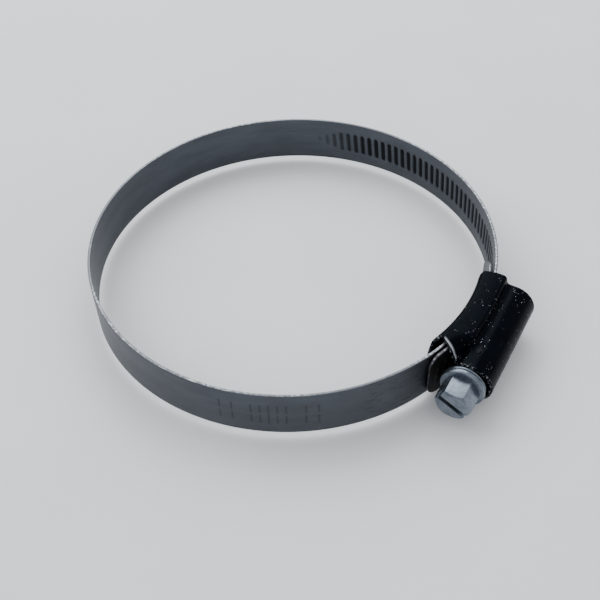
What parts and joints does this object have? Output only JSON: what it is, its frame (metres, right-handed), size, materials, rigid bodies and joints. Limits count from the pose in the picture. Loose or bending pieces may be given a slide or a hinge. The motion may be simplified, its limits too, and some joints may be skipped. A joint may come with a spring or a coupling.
{
  "type": "hose clamp",
  "caption": "Worm-drive hose clamp: a steel band round a hose, drawn through a folded housing by a slotted hex screw.",
  "frame": {"origin": "middle of the object's underside, the ring lying flat", "axes": "+Z along the hose's axis, +X from the ring's centre towards the housing, +Y along the screw from its head to its tip"},
  "size_m": [0.1038, 0.0944, 0.0143],
  "materials": {
    "band_steel": "dark slate-grey coated spring steel, satin, edges rubbed bright",
    "black_enamel": "glossy black enamel, flecked and chipped at the edges",
    "zinc_plate": "bright bluish zinc plate"
  },
  "bodies": {
    "housing": {"housing": "black_enamel", "band_fixed_end": "band_steel"},
    "screw": {"worm_screw": "zinc_plate", "thrust_washer": "zinc_plate"},
    "band_01": {"band_link_01": "band_steel"},
    "band_02": {"band_link_02": "band_steel"},
    "band_03": {"band_link_03": "band_steel"},
    "band_04": {"band_link_04": "band_steel"},
    "band_05": {"band_link_05": "band_steel"},
    "band_06": {"band_link_06": "band_steel"},
    "band_07": {"band_link_07": "band_steel"},
    "band_08": {"band_link_08": "band_steel"},
    "band_09": {"band_link_09": "band_steel"},
    "band_10": {"band_link_10": "band_steel"},
    "band_11": {"band_link_11": "band_steel"},
    "band_12": {"band_link_12": "band_steel"},
    "band_13": {"band_link_13": "band_steel"},
    "band_14": {"band_link_14": "band_steel"},
    "band_15": {"band_link_15": "band_steel"},
    "band_16": {"band_link_16": "band_steel"},
    "band_17": {"band_link_17": "band_steel"},
    "band_18": {"band_link_18": "band_steel"},
    "band_19": {"band_link_19": "band_steel"},
    "band_20": {"band_link_20": "band_steel"},
    "band_21": {"band_link_21": "band_steel"},
    "band_22": {"band_link_22": "band_steel"},
    "band_23": {"band_link_23": "band_steel"},
    "band_24": {"band_link_24": "band_steel"}
  },
  "joints": [
    {"name": "screw_turn", "type": "hinge", "parent": "housing", "child": "screw", "pos_m": [0.04597, -0.0183, 0.00715], "axis": [0, 1, 0], "range_deg": [0, 14040]},
    {"name": "band_bend_01", "type": "hinge", "parent": "housing", "child": "band_01", "pos_m": [0.04042, -0.0112, 0.00715], "axis": [0, 0, -1], "range_deg": [-0.02, 8.54]},
    {"name": "band_bend_02", "type": "hinge", "parent": "band_01", "child": "band_02", "pos_m": [0.03586, -0.02297, 0.00715], "axis": [0, 0, -1], "range_deg": [-0.02, 5.43]},
    {"name": "band_bend_03", "type": "hinge", "parent": "band_02", "child": "band_03", "pos_m": [0.0283, -0.03306, 0.00715], "axis": [0, 0, -1], "range_deg": [-0.02, 5.7]},
    {"name": "band_bend_04", "type": "hinge", "parent": "band_03", "child": "band_04", "pos_m": [0.0183, -0.04076, 0.00715], "axis": [0, 0, -1], "range_deg": [-0.02, 5.92]},
    {"name": "band_bend_05", "type": "hinge", "parent": "band_04", "child": "band_05", "pos_m": [0.0066, -0.04548, 0.00715], "axis": [0, 0, -1], "range_deg": [-0.02, 6.07]},
    {"name": "band_bend_06", "type": "hinge", "parent": "band_05", "child": "band_06", "pos_m": [-0.00593, -0.04689, 0.00715], "axis": [0, 0, -1], "range_deg": [-0.02, 6.09]},
    {"name": "band_bend_07", "type": "hinge", "parent": "band_06", "child": "band_07", "pos_m": [-0.01838, -0.04489, 0.00715], "axis": [0, 0, -1], "range_deg": [-0.02, 5.99]},
    {"name": "band_bend_08", "type": "hinge", "parent": "band_07", "child": "band_08", "pos_m": [-0.02985, -0.03962, 0.00715], "axis": [0, 0, -1], "range_deg": [-0.02, 5.81]},
    {"name": "band_bend_09", "type": "hinge", "parent": "band_08", "child": "band_09", "pos_m": [-0.03948, -0.03147, 0.00715], "axis": [0, 0, -1], "range_deg": [-0.02, 5.62]},
    {"name": "band_bend_10", "type": "hinge", "parent": "band_09", "child": "band_10", "pos_m": [-0.04659, -0.02105, 0.00715], "axis": [0, 0, -1], "range_deg": [-0.02, 5.49]},
    {"name": "band_bend_11", "type": "hinge", "parent": "band_10", "child": "band_11", "pos_m": [-0.05066, -0.00911, 0.00715], "axis": [0, 0, -1], "range_deg": [-0.02, 5.46]},
    {"name": "band_bend_12", "type": "hinge", "parent": "band_11", "child": "band_12", "pos_m": [-0.05139, 0.00348, 0.00715], "axis": [0, 0, -1], "range_deg": [-0.02, 5.56]},
    {"name": "band_bend_13", "type": "hinge", "parent": "band_12", "child": "band_13", "pos_m": [-0.04874, 0.01582, 0.00715], "axis": [0, 0, -1], "range_deg": [-0.02, 5.73]},
    {"name": "band_bend_14", "type": "hinge", "parent": "band_13", "child": "band_14", "pos_m": [-0.0429, 0.027, 0.00715], "axis": [0, 0, -1], "range_deg": [-0.02, 5.88]},
    {"name": "band_bend_15", "type": "hinge", "parent": "band_14", "child": "band_15", "pos_m": [-0.03431, 0.03623, 0.00715], "axis": [0, 0, -1], "range_deg": [-0.02, 5.89]},
    {"name": "band_bend_16", "type": "hinge", "parent": "band_15", "child": "band_16", "pos_m": [-0.02356, 0.04285, 0.00715], "axis": [0, 0, -1], "range_deg": [-0.02, 5.7]},
    {"name": "band_bend_17", "type": "hinge", "parent": "band_16", "child": "band_17", "pos_m": [-0.01145, 0.04637, 0.00715], "axis": [0, 0, -1], "range_deg": [-0.02, 5.38]},
    {"name": "band_bend_18", "type": "hinge", "parent": "band_17", "child": "band_18", "pos_m": [0.00116, 0.04657, 0.00715], "axis": [0, 0, -1], "range_deg": [-0.02, 5.25]},
    {"name": "band_bend_19", "type": "hinge", "parent": "band_18", "child": "band_19", "pos_m": [0.01338, 0.04341, 0.00715], "axis": [0, 0, -1], "range_deg": [-0.02, 5.28]},
    {"name": "band_bend_20", "type": "hinge", "parent": "band_19", "child": "band_20", "pos_m": [0.02432, 0.03714, 0.00715], "axis": [0, 0, -1], "range_deg": [-0.02, 5.33]},
    {"name": "band_bend_21", "type": "hinge", "parent": "band_20", "child": "band_21", "pos_m": [0.03322, 0.02819, 0.00715], "axis": [0, 0, -1], "range_deg": [-0.02, 5.39]},
    {"name": "band_bend_22", "type": "hinge", "parent": "band_21", "child": "band_22", "pos_m": [0.03945, 0.01722, 0.00715], "axis": [0, 0, -1], "range_deg": [-0.02, 5.48]},
    {"name": "band_bend_23", "type": "hinge", "parent": "band_22", "child": "band_23", "pos_m": [0.04256, 0.00499, 0.00715], "axis": [0, 0, -1], "range_deg": [-0.02, 5.57]},
    {"name": "band_bend_24", "type": "hinge", "parent": "band_23", "child": "band_24", "pos_m": [0.04233, -0.00762, 0.00715], "axis": [0, 0, -1], "range_deg": [-0.02, 5.67]}
  ],
  "couplings": [
    {"joint": "band_bend_01", "follows": "screw_turn", "ratio": 0.00060622},
    {"joint": "band_bend_02", "follows": "screw_turn", "ratio": 0.000385},
    {"joint": "band_bend_03", "follows": "screw_turn", "ratio": 0.00040394},
    {"joint": "band_bend_04", "follows": "screw_turn", "ratio": 0.00042018},
    {"joint": "band_bend_05", "follows": "screw_turn", "ratio": 0.00043024},
    {"joint": "band_bend_06", "follows": "screw_turn", "ratio": 0.00043175},
    {"joint": "band_bend_07", "follows": "screw_turn", "ratio": 0.00042479},
    {"joint": "band_bend_08", "follows": "screw_turn", "ratio": 0.00041215},
    {"joint": "band_bend_09", "follows": "screw_turn", "ratio": 0.00039851},
    {"joint": "band_bend_10", "follows": "screw_turn", "ratio": 0.000389},
    {"joint": "band_bend_11", "follows": "screw_turn", "ratio": 0.00038737},
    {"joint": "band_bend_12", "follows": "screw_turn", "ratio": 0.00039427},
    {"joint": "band_bend_13", "follows": "screw_turn", "ratio": 0.00040632},
    {"joint": "band_bend_14", "follows": "screw_turn", "ratio": 0.0004167},
    {"joint": "band_bend_15", "follows": "screw_turn", "ratio": 0.00041747},
    {"joint": "band_bend_16", "follows": "screw_turn", "ratio": 0.00040411},
    {"joint": "band_bend_17", "follows": "screw_turn", "ratio": 0.00038168},
    {"joint": "band_bend_18", "follows": "screw_turn", "ratio": 0.00037239},
    {"joint": "band_bend_19", "follows": "screw_turn", "ratio": 0.00037426},
    {"joint": "band_bend_20", "follows": "screw_turn", "ratio": 0.00037793},
    {"joint": "band_bend_21", "follows": "screw_turn", "ratio": 0.00038244},
    {"joint": "band_bend_22", "follows": "screw_turn", "ratio": 0.00038818},
    {"joint": "band_bend_23", "follows": "screw_turn", "ratio": 0.00039492},
    {"joint": "band_bend_24", "follows": "screw_turn", "ratio": 0.00040214}
  ]
}
